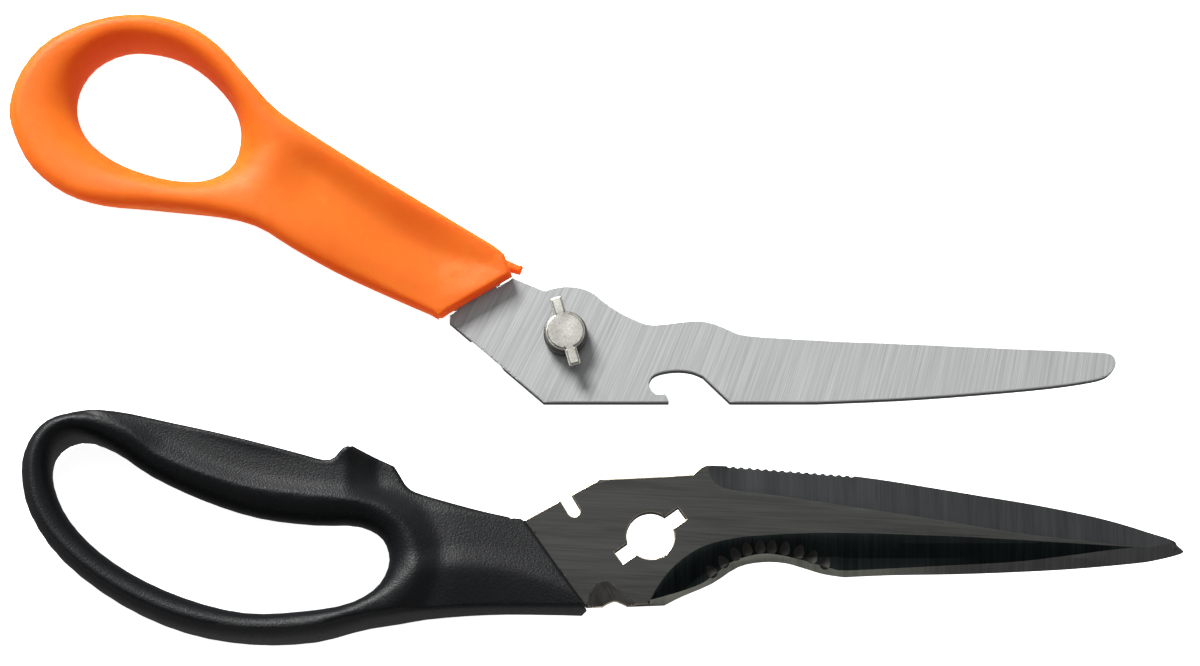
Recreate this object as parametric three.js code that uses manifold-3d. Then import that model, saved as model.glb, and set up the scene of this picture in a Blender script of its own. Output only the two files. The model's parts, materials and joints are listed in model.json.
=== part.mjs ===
// Take-apart multi-purpose kitchen shears, lying flat with the two halves separated.
// Millimetres. +X runs toward the blade tips, +Z is up. Each half is drawn about its own
// pivot axis, with z = 0 on the face that meets the other blade, and is then put in place.

import * as THREE from 'three';
import { mergeVertices } from 'three/addons/utils/BufferGeometryUtils.js';
import Module from 'manifold-3d';

const wasm = await Module();
wasm.setup();

// ---------------------------------------------------------------- driving dimensions

const PLATE = 2.5; // blade thickness
const FIT_GAP = 0.3; // gap between a moulded handle and the steel inside it
const STACK_GAP = 0.15; // gap between stacked pivot pieces

// where each half lies: the pivot axis in plan and the height of its mating face
const THUMB_PIVOT = new THREE.Vector3(-4.75, -1.13, 8);
const FINGER_PIVOT = new THREE.Vector3(12.05, -43.13, 12.5);

// thickness of each handle below and above its mating face, at the loop and at the neck
const FINGER_DEPTH = { loopLow: 12.5, loopHigh: 9.5, neckLow: 6, neckHigh: 6.8 };
const THUMB_DEPTH = { loopLow: 8, loopHigh: 8, neckLow: 5.2, neckHigh: 4.2 };

// bayonet pivot
const KEYHOLE_RADIUS = 4.7;
const SLOT_WIDTH = 2.9;
const SLOT_SPAN = 15.4; // end to end across the hole
const SLOT_ANGLE = 35.5; // degrees from +X
const WING_WIDTH = 2.4;
const WING_SPAN = 14.4;
const WING_ANGLE = 106; // degrees from +X, with the shears closed
const HEAD_RADIUS = 3.9;
const HEAD_TOP = 4.2;
const HEAD_UNDERSIDE = 2.75;
const HEAD_CHAMFER = 0.45;
const COLLAR_RADIUS = 4.35;
const SHANK_RADIUS = 2.9;
const SHANK_HOLE_RADIUS = SHANK_RADIUS + FIT_GAP;
const BORE_RADIUS = 1.6;
const BORE_TOP = 3.2;
const CORE_RADIUS = 1.3;
const CORE_LENGTH = 2;
const WASHER_RADIUS = 6;
const WASHER_THICKNESS = 0.8;
const ROUND_SEGMENTS = 40;
const BITE_SIDES = 12;

// blades
const GRIND_EDGE = 0.5; // thickness left at a ground edge
const TANG_END_RADIUS = 4;
const WIRE_SLOT = { mouth: [-17.6, 9.3], angle: -59.5, length: 5, width: 2.5 };
const BITE = { count: 16, first: [15.6, 14.35], last: [39.6, 12.45], radius: 0.7 };
const CUT_PAST = 1; // how far a cutter reaches past the face that it cuts

// handle rims: how far in the rounding goes, and how far down
const FINGER_RIM = { inward: 1.4, down: 2.6 };
const THUMB_RIM = { inward: 2.2, down: 3 };
const RIM_STEPS = 3;
const PROFILE_EASE = 12; // length of the curve's handles where neck meets loop

// points to a smooth stretch
const SAMPLES_PER_POINT = 3;

// ---------------------------------------------------------------- solids and meshes

function toSolid(geometry) {
  const bare = geometry.index ? geometry.toNonIndexed() : geometry.clone();
  bare.deleteAttribute('normal');
  bare.deleteAttribute('uv');
  const merged = mergeVertices(bare, 1e-5);
  return new wasm.Manifold(new wasm.Mesh({
    numProp: 3,
    vertProperties: new Float32Array(merged.attributes.position.array),
    triVerts: new Uint32Array(merged.index.array),
  }));
}

function toMesh(name, solid, material) {
  const { vertProperties, triVerts } = solid.getMesh();
  const geometry = new THREE.BufferGeometry();
  geometry.setAttribute('position', new THREE.BufferAttribute(new Float32Array(vertProperties), 3));
  geometry.setIndex(new THREE.BufferAttribute(new Uint32Array(triVerts), 1));
  geometry.computeVertexNormals();
  const mesh = new THREE.Mesh(geometry, material);
  mesh.name = name;
  return mesh;
}

// A shape from runs of points: each run is a smooth curve, and runs meet at corners.
function outline(runs) {
  const points = [];
  runs.forEach((run, index) => {
    const next = runs[(index + 1) % runs.length][0];
    const through = [...run, next].map(([x, y]) => new THREE.Vector2(x, y));
    if (through.length === 2) {
      points.push(through[0]);
      return;
    }
    const curve = new THREE.SplineCurve(through);
    points.push(...curve.getPoints(SAMPLES_PER_POINT * run.length).slice(0, -1));
  });
  return new THREE.Shape(points);
}

// A closed smooth ring through the points, as a hole.
function ring(points) {
  const curve = new THREE.CatmullRomCurve3(
    points.map(([x, y]) => new THREE.Vector3(x, y, 0)), true, 'centripetal');
  const round = curve.getPoints(SAMPLES_PER_POINT * points.length).slice(0, -1);
  return new THREE.Path(round.map((p) => new THREE.Vector2(p.x, p.y)));
}

function slab(shape, low, high) {
  const geometry = new THREE.ExtrudeGeometry(shape, {
    depth: high - low, bevelEnabled: false, curveSegments: 6,
  });
  geometry.translate(0, 0, low);
  return toSolid(geometry);
}

// A ring of points moved inward (for an outline) or outward (for a hole) by an amount.
function inset(points, amount) {
  return points.map((point, i) => {
    const before = points[(i + points.length - 1) % points.length];
    const after = points[(i + 1) % points.length];
    const tangent = after.clone().sub(before).normalize();
    return new THREE.Vector2(point.x - tangent.y * amount, point.y + tangent.x * amount);
  });
}

// A slab with rounded rims: a stack of rings, each inset by what a quarter round gives.
function roundedSlab(shape, low, high, { inward, down }) {
  const { shape: outer, holes } = shape.extractPoints(1);
  if (THREE.ShapeUtils.isClockWise(outer)) outer.reverse();
  holes.forEach((hole) => {
    if (!THREE.ShapeUtils.isClockWise(hole)) hole.reverse();
  });
  const rings = [outer, ...holes];
  const levels = [];
  for (let k = 0; k <= RIM_STEPS; k += 1) {
    const a = (k / RIM_STEPS) * (Math.PI / 2);
    levels.push([low + down * (1 - Math.sin(a)), inward * (1 - Math.cos(a))]);
  }
  levels.reverse();
  const layers = [...levels, ...levels.map(([z, d]) => [low + high - z, d]).reverse()];
  const perLayer = rings.reduce((sum, points) => sum + points.length, 0);
  const positions = [];
  layers.forEach(([z, d]) => {
    rings.forEach((points) => inset(points, d).forEach((p) => positions.push(p.x, p.y, z)));
  });
  const faces = [];
  for (let layer = 0; layer + 1 < layers.length; layer += 1) {
    let first = layer * perLayer;
    rings.forEach((points) => {
      points.forEach((_, i) => {
        const a = first + i;
        const b = first + ((i + 1) % points.length);
        faces.push(a, b, b + perLayer, a, b + perLayer, a + perLayer);
      });
      first += points.length;
    });
  }
  const top = (layers.length - 1) * perLayer;
  THREE.ShapeUtils.triangulateShape(outer, holes).forEach(([a, b, c]) => {
    faces.push(a, c, b, top + a, top + b, top + c);
  });
  return new wasm.Manifold(new wasm.Mesh({
    numProp: 3,
    vertProperties: new Float32Array(positions),
    triVerts: new Uint32Array(faces),
  }));
}

function box(centre, size, angle = 0) {
  const geometry = new THREE.BoxGeometry(...size);
  geometry.rotateZ(THREE.MathUtils.degToRad(angle));
  geometry.translate(...centre);
  return toSolid(geometry);
}

function turned(profile) {
  const geometry = new THREE.LatheGeometry(
    profile.map(([radius, z]) => new THREE.Vector2(radius, z)), ROUND_SEGMENTS);
  geometry.rotateX(Math.PI / 2);
  return toSolid(geometry);
}

function rod(radius, low, high) {
  return turned([[0, low], [radius, low], [radius, high], [0, high]]);
}

function tube(inner, outer, low, high) {
  return turned([[inner, low], [outer, low], [outer, high], [inner, high], [inner, low]]);
}

// A straight slot with a round end, from its mouth along a direction.
function slotShape({ mouth, angle, length, width }) {
  const [x, y] = mouth;
  const a = THREE.MathUtils.degToRad(angle);
  const along = new THREE.Vector2(Math.cos(a), Math.sin(a));
  const side = new THREE.Vector2(-along.y, along.x).multiplyScalar(width / 2);
  const end = new THREE.Vector2(x, y).addScaledVector(along, length);
  const shape = new THREE.Shape();
  shape.moveTo(x - side.x, y - side.y);
  shape.lineTo(end.x - side.x, end.y - side.y);
  shape.absarc(end.x, end.y, width / 2, a - Math.PI / 2, a + Math.PI / 2, false);
  shape.lineTo(x + side.x, y + side.y);
  return shape;
}

// A tang: a tapering strip with a round end, from the blade's shoulder into the handle.
// grow widens it on every side, which makes the pocket that it sits in.
function tang(start, angle, length, startWidth, grow = 0) {
  const a = THREE.MathUtils.degToRad(angle);
  const local = new THREE.Shape();
  const half = startWidth / 2 + grow;
  const endHalf = TANG_END_RADIUS + grow;
  local.moveTo(0, -half);
  local.lineTo(0, half);
  local.lineTo(length, endHalf);
  local.absarc(length, 0, endHalf, Math.PI / 2, -Math.PI / 2, true);
  const points = local.getPoints(6).map((p) => new THREE.Vector2(
    start[0] + p.x * Math.cos(a) - p.y * Math.sin(a),
    start[1] + p.x * Math.sin(a) + p.y * Math.cos(a)));
  return slab(new THREE.Shape(points), -grow, PLATE + grow);
}

// A wedge that grinds a bevel: the line from start to end is where the bevel begins on
// the face at z = face. It falls by drop over the given width to the left of the line, and
// is level beyond that.
function grindWedge(start, end, width, face, drop) {
  const from = new THREE.Vector2(...start);
  const to = new THREE.Vector2(...end);
  const length = from.distanceTo(to);
  const side = Math.sign(drop);
  const reach = width * 3;
  const shape = new THREE.Shape();
  shape.moveTo(0, 0);
  shape.lineTo(width, -drop);
  shape.lineTo(reach, -drop);
  shape.lineTo(reach, side * CUT_PAST);
  shape.lineTo(0, side * CUT_PAST);
  const geometry = new THREE.ExtrudeGeometry(shape, { depth: length, bevelEnabled: false });
  // the section's x runs to the left of the line, its y is up, and its depth is the line
  const along = to.clone().sub(from).normalize();
  const basis = new THREE.Matrix4().makeBasis(
    new THREE.Vector3(-along.y, along.x, 0),
    new THREE.Vector3(0, 0, 1),
    new THREE.Vector3(along.x, along.y, 0));
  geometry.applyMatrix4(basis);
  geometry.translate(from.x, from.y, face);
  return toSolid(geometry);
}

// The side view of a handle: full depth at the loop, thinner at the neck, as a prism that
// the plan outline is cut to. Its length runs along the given direction from the pivot.
function sideProfile(angle, depth, neckAt, loopAt, farEnd) {
  const shape = new THREE.Shape();
  shape.moveTo(0, -depth.neckLow);
  shape.lineTo(neckAt, -depth.neckLow);
  shape.bezierCurveTo(
    neckAt + PROFILE_EASE, -depth.neckLow, loopAt - PROFILE_EASE, -depth.loopLow, loopAt, -depth.loopLow);
  shape.lineTo(farEnd, -depth.loopLow);
  shape.lineTo(farEnd, depth.loopHigh);
  shape.lineTo(loopAt, depth.loopHigh);
  shape.bezierCurveTo(
    loopAt - PROFILE_EASE, depth.loopHigh, neckAt + PROFILE_EASE, depth.neckHigh, neckAt, depth.neckHigh);
  shape.lineTo(0, depth.neckHigh);
  const across = 160;
  const geometry = new THREE.ExtrudeGeometry(shape, {
    depth: across, bevelEnabled: false, curveSegments: 5,
  });
  geometry.translate(0, 0, -across / 2);
  geometry.rotateX(Math.PI / 2);
  geometry.rotateZ(THREE.MathUtils.degToRad(angle));
  return toSolid(geometry);
}

// ---------------------------------------------------------------- materials

const orangePlastic = new THREE.MeshStandardMaterial({
  color: 0xf0691e, roughness: 0.5, metalness: 0,
});
const blackPlastic = new THREE.MeshStandardMaterial({
  color: 0x26282c, roughness: 0.55, metalness: 0,
});
const brushedSteel = new THREE.MeshStandardMaterial({
  color: 0xc0c0be, roughness: 0.35, metalness: 1,
});
const coatedSteel = new THREE.MeshStandardMaterial({
  color: 0x464644, roughness: 0.4, metalness: 1,
});
const nickel = new THREE.MeshStandardMaterial({
  color: 0xc8c6be, roughness: 0.3, metalness: 1,
});

// ---------------------------------------------------------------- finger half

const FINGER_TANG = { start: [-17.6, -5.4], angle: 176, length: 27, width: 11 };

function fingerHandle() {
  const outer = outline([
    [[-25.2, 3.0], [-35, 5.4], [-44.6, 8.1], [-47.6, 9.6], [-49.2, 12]],
    [[-50.4, 13.9]],
    [[-59, 18]],
    [[-60.6, 17]],
    [[-61.9, 15.5], [-64, 15], [-70.2, 16.7], [-83, 20], [-95, 22.7], [-105, 24.7],
      [-113, 24.7], [-118.8, 22.8], [-122.4, 18], [-123.4, 12],
      [-121.4, 3.4], [-115, -5.8], [-104, -14.1], [-91.5, -19.6], [-78.5, -21.7],
      [-66, -21.2], [-54.4, -17.8], [-44, -15.6], [-32, -14.8], [-20, -14.8]],
    [[-12.9, -14.9]],
  ]);
  outer.holes.push(ring([
    [-117.7, 12.5], [-117, 16.6], [-113.4, 18.7], [-106, 16.1], [-98, 10.8], [-88, 6],
    [-77, 2.4], [-66, 1], [-57, 1.1], [-52.6, -1], [-51.1, -5], [-53, -9.8], [-58, -13.2],
    [-68, -14.9], [-79, -15.2], [-91, -12.2], [-102, -7.1], [-110, -1.2], [-115.2, 5.2],
  ]));
  const body = roundedSlab(outer, -FINGER_DEPTH.loopLow, FINGER_DEPTH.loopHigh, FINGER_RIM);
  const { start, angle, length, width } = FINGER_TANG;
  return body
    .intersect(sideProfile(180, FINGER_DEPTH, 22, 66, 130))
    .subtract(tang(start, angle, length, width, FIT_GAP));
}

// The saw-like back: a row of small round bites.
function backSerrations() {
  const first = new THREE.Vector2(...BITE.first);
  const last = new THREE.Vector2(...BITE.last);
  const bites = [];
  for (let i = 0; i < BITE.count; i += 1) {
    const place = first.clone().lerp(last, i / (BITE.count - 1));
    const bite = new THREE.CylinderGeometry(BITE.radius, BITE.radius, PLATE + 2 * CUT_PAST, BITE_SIDES);
    bite.rotateX(Math.PI / 2);
    bite.translate(place.x, place.y, PLATE / 2);
    bites.push(toSolid(bite));
  }
  return wasm.Manifold.union(bites);
}

function fingerBlade() {
  const plan = outline([
    [[-24.7, 3.1]],
    [[-10, 11.2]],
    [[3.9, 11.9]],
    [[8.4, 12.2], [9.4, 13.2], [10.4, 13.9], [11.6, 14.05]],
    [[14.9, 14]],
    [[40.2, 12], [48, 10.9], [64, 8.2], [75.3, 6.3], [86.4, 4], [94, 1.9], [99.5, -0.1],
      [102.5, -1.5]],
    [[104.6, -3.3], [104.2, -3.7], [101.3, -4.4], [93.7, -5.3], [82.4, -6.3], [71.3, -6.9],
      [59.9, -7.3], [47, -7.5]],
    [[38, -7.9], [34, -7.3], [30, -6.1], [26.4, -5.1], [22, -4.9], [17.2, -5.9], [12, -9.2],
      [6, -11.8]],
    [[2.7, -13.5]],
    [[-4.6, -13.8], [-5.8, -13.2], [-7, -12.8], [-8.2, -13.2]],
    [[-9.4, -13.9]],
    [[-12.6, -14]],
  ]);
  const { start, angle, length, width } = FINGER_TANG;
  let blade = slab(plan, 0, PLATE).add(tang(start, angle, length, width));
  const cuts = [
    rod(KEYHOLE_RADIUS, -CUT_PAST, PLATE + CUT_PAST),
    box([0, 0, PLATE / 2], [SLOT_SPAN, SLOT_WIDTH, PLATE + 2 * CUT_PAST], SLOT_ANGLE),
    slab(slotShape(WIRE_SLOT), -CUT_PAST, PLATE + CUT_PAST),
    backSerrations(),
    grindWedge([12, 9.6], [100, -3.2], 5.5, PLATE, 1.1),
    grindWedge([94, -2.3], [11, -0.4], 7, PLATE, PLATE - GRIND_EDGE),
    grindWedge([12, -1.6], [-0.5, -13.4], 7, PLATE, PLATE - GRIND_EDGE),
  ];
  for (const cut of cuts) blade = blade.subtract(cut);
  return blade;
}

// ---------------------------------------------------------------- thumb half

const THUMB_TANG = { start: [-15.2, 7.2], angle: 152, length: 24, width: 10 };

function thumbHandle() {
  const outer = outline([
    [[-10.9, 12.2]],
    [[-12.3, 16.4]],
    [[-14.8, 18.3], [-25.2, 24.7], [-44, 35.8], [-57.4, 45], [-64, 52.2], [-70, 59.2], [-76.6, 63.9],
      [-85.5, 66.1], [-95, 65], [-104, 60.8], [-109.6, 54], [-111.9, 46], [-110.8, 40],
      [-107, 32.8], [-100.5, 27.3], [-92.8, 24.7], [-83, 24.1], [-72.6, 23], [-62, 20.6],
      [-54.8, 16.6], [-46.3, 12.2], [-36, 7.7]],
    [[-25.4, 3.2]],
    [[-23.5, 4.6]],
  ]);
  outer.holes.push(ring([
    [-98.9, 46], [-98.4, 51], [-95.2, 55.6], [-89.6, 58.2], [-83, 58], [-77, 56],
    [-71.4, 51.8], [-67, 46.3], [-65.6, 41], [-67, 35.6], [-71.4, 32.7], [-77, 32.2],
    [-84, 33.6], [-91.5, 36.8], [-96.8, 41.2],
  ]));
  const body = roundedSlab(outer, -THUMB_DEPTH.loopLow, THUMB_DEPTH.loopHigh, THUMB_RIM);
  const tab = box([-11.6, 14, -4], [5.5, 3, 2.4], -32);
  const { start, angle, length, width } = THUMB_TANG;
  return body
    .intersect(sideProfile(152, THUMB_DEPTH, 24, 68, 150))
    .add(tab)
    .subtract(tang(start, angle, length, width, FIT_GAP).translate(0, 0, -PLATE));
}

function thumbBlade() {
  const plan = outline([
    [[-10.6, 11.9]],
    [[-4.4, 9.3], [-2.3, 9.9], [0.2, 10.2], [3.2, 9.8], [5.7, 8.6], [7.8, 6.8], [10.8, 4.8],
      [13.3, 3.5], [16.2, 2.4], [19.6, 2.4], [25.5, 3.1], [28.9, 2.7], [31.8, 1.6],
      [34.8, 0.3]],
    [[38.9, -0.2], [54.1, -1.1], [66.9, -1.6], [86, -2.5]],
    [[105.6, -3.3], [108.4, -3.6], [109.7, -4.6], [109.8, -6.4], [108.2, -8.2], [104.8, -9.3],
      [96, -10.6], [82, -11.9], [66.7, -13]],
    [[50, -13.7]],
    [[32.8, -13.7]],
    [[27.4, -8.4], [25.2, -7.5], [22.4, -7.2], [19.6, -7.5], [17.5, -8.3], [16.7, -9.8],
      [17, -11.1], [18, -11.9]],
    [[19.9, -11.9]],
    [[20.6, -13.4]],
    [[20.6, -13.7]],
    [[-4.3, -13.7]],
    [[-23.2, 2.7]],
    [[-23.2, 4.3]],
  ]);
  const { start, angle, length, width } = THUMB_TANG;
  let blade = slab(plan, 0, PLATE).add(tang(start, angle, length, width));
  blade = blade.translate(0, 0, -PLATE);
  blade = blade.subtract(rod(SHANK_HOLE_RADIUS, -PLATE - CUT_PAST, CUT_PAST));
  const grindOnRear = grindWedge([36, -4.4], [112, -8.4], 5, -PLATE, GRIND_EDGE - PLATE);
  return blade.subtract(grindOnRear);
}

// ---------------------------------------------------------------- pivot

const SHANK_LOW = -PLATE - STACK_GAP - WASHER_THICKNESS;

function pivotStud() {
  const round = turned([
    [0, SHANK_LOW],
    [SHANK_RADIUS, SHANK_LOW],
    [SHANK_RADIUS, HEAD_UNDERSIDE],
    [HEAD_RADIUS, HEAD_UNDERSIDE],
    [HEAD_RADIUS, HEAD_TOP - HEAD_CHAMFER],
    [HEAD_RADIUS - HEAD_CHAMFER, HEAD_TOP],
    [0, HEAD_TOP],
  ]);
  const wingTop = HEAD_TOP - HEAD_CHAMFER;
  const wings = box([0, 0, (HEAD_UNDERSIDE + wingTop) / 2],
    [WING_SPAN, WING_WIDTH, wingTop - HEAD_UNDERSIDE], WING_ANGLE);
  return round.add(wings).subtract(rod(BORE_RADIUS, SHANK_LOW - CUT_PAST, BORE_TOP));
}

function pivotCollar() {
  return tube(SHANK_HOLE_RADIUS, COLLAR_RADIUS, STACK_GAP, HEAD_UNDERSIDE - STACK_GAP);
}

function rivetWasher() {
  return tube(SHANK_HOLE_RADIUS, WASHER_RADIUS, SHANK_LOW, SHANK_LOW + WASHER_THICKNESS);
}

function rivetCore() {
  const top = BORE_TOP - 0.2;
  return rod(CORE_RADIUS, top - CORE_LENGTH, top);
}

// ---------------------------------------------------------------- assembly

const fingerHalf = new THREE.Group();
fingerHalf.position.copy(FINGER_PIVOT);
fingerHalf.add(
  toMesh('finger_handle', fingerHandle(), blackPlastic),
  toMesh('finger_blade', fingerBlade(), coatedSteel),
);

const thumbHalf = new THREE.Group();
thumbHalf.position.copy(THUMB_PIVOT);
thumbHalf.add(
  toMesh('thumb_handle', thumbHandle(), orangePlastic),
  toMesh('thumb_blade', thumbBlade(), brushedSteel),
  toMesh('pivot_stud', pivotStud(), nickel),
  toMesh('pivot_collar', pivotCollar(), nickel),
  toMesh('rivet_washer', rivetWasher(), nickel),
  toMesh('rivet_core', rivetCore(), nickel),
);

const shears = new THREE.Group();
shears.add(fingerHalf, thumbHalf);

export default shears;
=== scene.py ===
"""Take-apart kitchen shears: the looks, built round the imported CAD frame.

Lengths inside this script are millimetres, measured from each half's own pivot with z = 0 on
the face that meets the other blade. They turn into metres in the row frame when a mesh is made.
"""

import json
import math

import bmesh
import bpy
import numpy as np
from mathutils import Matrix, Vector
from mathutils.geometry import delaunay_2d_cdt

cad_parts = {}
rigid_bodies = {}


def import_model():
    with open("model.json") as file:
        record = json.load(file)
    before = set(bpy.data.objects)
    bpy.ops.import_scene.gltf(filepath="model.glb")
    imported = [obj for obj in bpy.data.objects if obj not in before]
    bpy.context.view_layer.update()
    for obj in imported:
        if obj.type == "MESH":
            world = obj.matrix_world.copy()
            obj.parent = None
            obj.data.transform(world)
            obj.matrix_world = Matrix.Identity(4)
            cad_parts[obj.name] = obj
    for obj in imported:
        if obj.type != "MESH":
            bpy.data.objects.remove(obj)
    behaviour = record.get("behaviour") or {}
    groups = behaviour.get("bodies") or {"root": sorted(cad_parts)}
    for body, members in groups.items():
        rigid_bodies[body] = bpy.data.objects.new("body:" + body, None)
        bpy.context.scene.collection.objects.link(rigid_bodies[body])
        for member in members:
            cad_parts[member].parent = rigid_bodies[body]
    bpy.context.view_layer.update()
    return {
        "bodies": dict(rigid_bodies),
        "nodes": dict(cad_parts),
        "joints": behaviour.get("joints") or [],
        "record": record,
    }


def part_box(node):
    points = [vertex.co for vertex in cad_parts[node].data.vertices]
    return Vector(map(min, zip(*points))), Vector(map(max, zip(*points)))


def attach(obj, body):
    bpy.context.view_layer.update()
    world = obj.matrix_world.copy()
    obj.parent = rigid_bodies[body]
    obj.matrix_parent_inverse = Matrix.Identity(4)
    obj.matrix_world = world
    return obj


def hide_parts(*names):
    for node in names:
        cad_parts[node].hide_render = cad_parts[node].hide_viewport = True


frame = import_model()

MM = 0.001

# ---- places from the frame

joints = {joint["name"]: joint for joint in frame["joints"]}
thumb_pivot = np.array(joints["open"]["pos_m"]) / MM
slide = np.array(joints["bring_together"]["axis"]) * joints["bring_together"]["range_m"][1] / MM
finger_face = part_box("finger_blade")[0].z / MM
finger_pivot = np.array([thumb_pivot[0] + slide[0], thumb_pivot[1] + slide[1], finger_face])
PLATE = (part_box("thumb_blade")[1].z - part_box("thumb_blade")[0].z) / MM


def span(node, pivot):
    """The lowest and highest z of a CAD node, from its half's mating face."""
    low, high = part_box(node)
    return low.z / MM - pivot[2], high.z / MM - pivot[2]


# ---- small maths


def ease(value, start, end):
    """A smooth step from 0 at start to 1 at end."""
    t = np.clip((value - start) / (end - start), 0, 1)
    return t * t * (3 - 2 * t)


def mix(a, b, t):
    """The value t of the way from a to b."""
    return a + (b - a) * t


def rim(distance, radius, power):
    """A rounded rim: 0 at the outline, 1 from radius inward. A higher power is squarer."""
    u = np.clip(distance / radius, 0, 1)
    return (1 - (1 - u) ** power) ** (1 / power)


def curve_through(points, step):
    """A smooth open curve through the points, sampled about every step."""
    p = np.array(points, float)
    ends = [2 * p[0] - p[1], *p, 2 * p[-1] - p[-2]]
    out = []
    for a, b, c, d in zip(ends, ends[1:], ends[2:], ends[3:]):
        count = max(1, int(round(np.linalg.norm(c - b) / step)))
        t = np.arange(count)[:, None] / count
        square = (2 * a - 5 * b + 4 * c - d) * t**2
        cube = (3 * b - a - 3 * c + d) * t**3
        out.append(0.5 * (2 * b + (c - a) * t + square + cube))
    return np.vstack([*out, p[-1:]])


# ---- plan outlines


def signed_area(loop):
    """The area inside a closed line, negative if it runs clockwise."""
    x, y = loop.T
    return 0.5 * (x * np.roll(y, -1) - np.roll(x, -1) * y).sum()


def anchored(loop):
    """The closed line, anticlockwise from its point with the lowest x."""
    if signed_area(loop) < 0:
        loop = loop[::-1]
    return np.roll(loop, -np.lexsort((loop[:, 1], loop[:, 0]))[0], 0)


def section(node, pivot, z):
    """The closed outlines of a CAD node cut at height z, longest first."""
    bm = bmesh.new()
    bm.from_mesh(frame["nodes"][node].data)
    bmesh.ops.remove_doubles(bm, verts=bm.verts, dist=1e-6)
    cut = bmesh.ops.bisect_plane(
        bm,
        geom=[*bm.verts, *bm.edges, *bm.faces],
        plane_co=(0, 0, (pivot[2] + z) * MM),
        plane_no=(0, 0, 1),
    )
    edges = {e for e in cut["geom_cut"] if isinstance(e, bmesh.types.BMEdge)}
    loops = []
    while edges:
        edge = edges.pop()
        start, vert = edge.verts
        loop = [start]
        while vert is not start:
            loop.append(vert)
            edge = next((e for e in vert.link_edges if e in edges), None)
            if edge is None:
                break
            edges.remove(edge)
            vert = edge.other_vert(vert)
        places = [(v.co.x / MM - pivot[0], v.co.y / MM - pivot[1]) for v in loop]
        loops.append(anchored(np.array(places)))
    bm.free()
    return sorted(loops, key=lambda loop: -np.linalg.norm(loop - np.roll(loop, 1, 0), axis=1).sum())


def turn_at(loop):
    """The angle in degrees by which a closed line turns at each of its points."""
    before = loop - np.roll(loop, 1, 0)
    after = np.roll(loop, -1, 0) - loop
    cross = before[:, 0] * after[:, 1] - before[:, 1] * after[:, 0]
    dot = (before * after).sum(1)
    return np.degrees(np.abs(np.arctan2(cross, dot)))


def refined(loop, step, corner):
    """The loop sampled about every step, smooth except at corners sharper than the angle."""
    loop = np.array(loop)
    corners = np.flatnonzero(turn_at(loop) > corner)
    if len(corners) == 0:
        wrapped = np.vstack([loop[-2:], loop, loop[:3]])
        curve = curve_through(wrapped, step)
        first = np.argmin(np.linalg.norm(curve - loop[0], axis=1))
        rest = curve[first + 4 :]
        last = first + 4 + np.argmin(np.linalg.norm(rest - loop[0], axis=1))
        return curve[first:last]
    loop = np.roll(loop, -corners[0], 0)
    corners = [*(corners - corners[0]), len(loop)]
    closed = np.vstack([loop, loop[:1]])
    runs = [curve_through(closed[a : b + 1], step)[:-1] for a, b in zip(corners, corners[1:])]
    return np.vstack(runs)


def distance(points, line, closed=True):
    """The distance from each point to a line of straight pieces."""
    a = line if closed else line[:-1]
    b = np.roll(line, -1, 0) if closed else line[1:]
    along = b - a
    length2 = np.maximum((along**2).sum(1), 1e-12)
    best = np.full(len(points), np.inf)
    for start in range(0, len(points), 2000):
        part = points[start : start + 2000, None, :] - a[None]
        t = np.clip((part * along).sum(2) / length2, 0, 1)
        gap = np.linalg.norm(part - t[..., None] * along, axis=2)
        best[start : start + 2000] = gap.min(1)
    return best


def inside(points, loops):
    """Which points are inside the outlines, counting crossings."""
    hit = np.zeros(len(points), int)
    x, y = points.T
    for loop in loops:
        for (ax, ay), (bx, by) in zip(loop, np.roll(loop, -1, 0)):
            if ay == by:
                continue
            crosses = (ay > y) != (by > y)
            hit += crosses & (x < ax + (y - ay) * (bx - ax) / (by - ay))
    return hit % 2 == 1


def rim_distance(points, loops):
    """The distance from each point to the nearest of several outlines."""
    return np.min([distance(points, loop) for loop in loops], axis=0)


# the height of an equilateral triangle, the part of a ring's offset that its points must
# keep from every outline, and how far loose points stay from a crease
ROW_HEIGHT = 0.866
RING_KEEPS = 0.93
CREASE_CLEAR = 0.12


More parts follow.
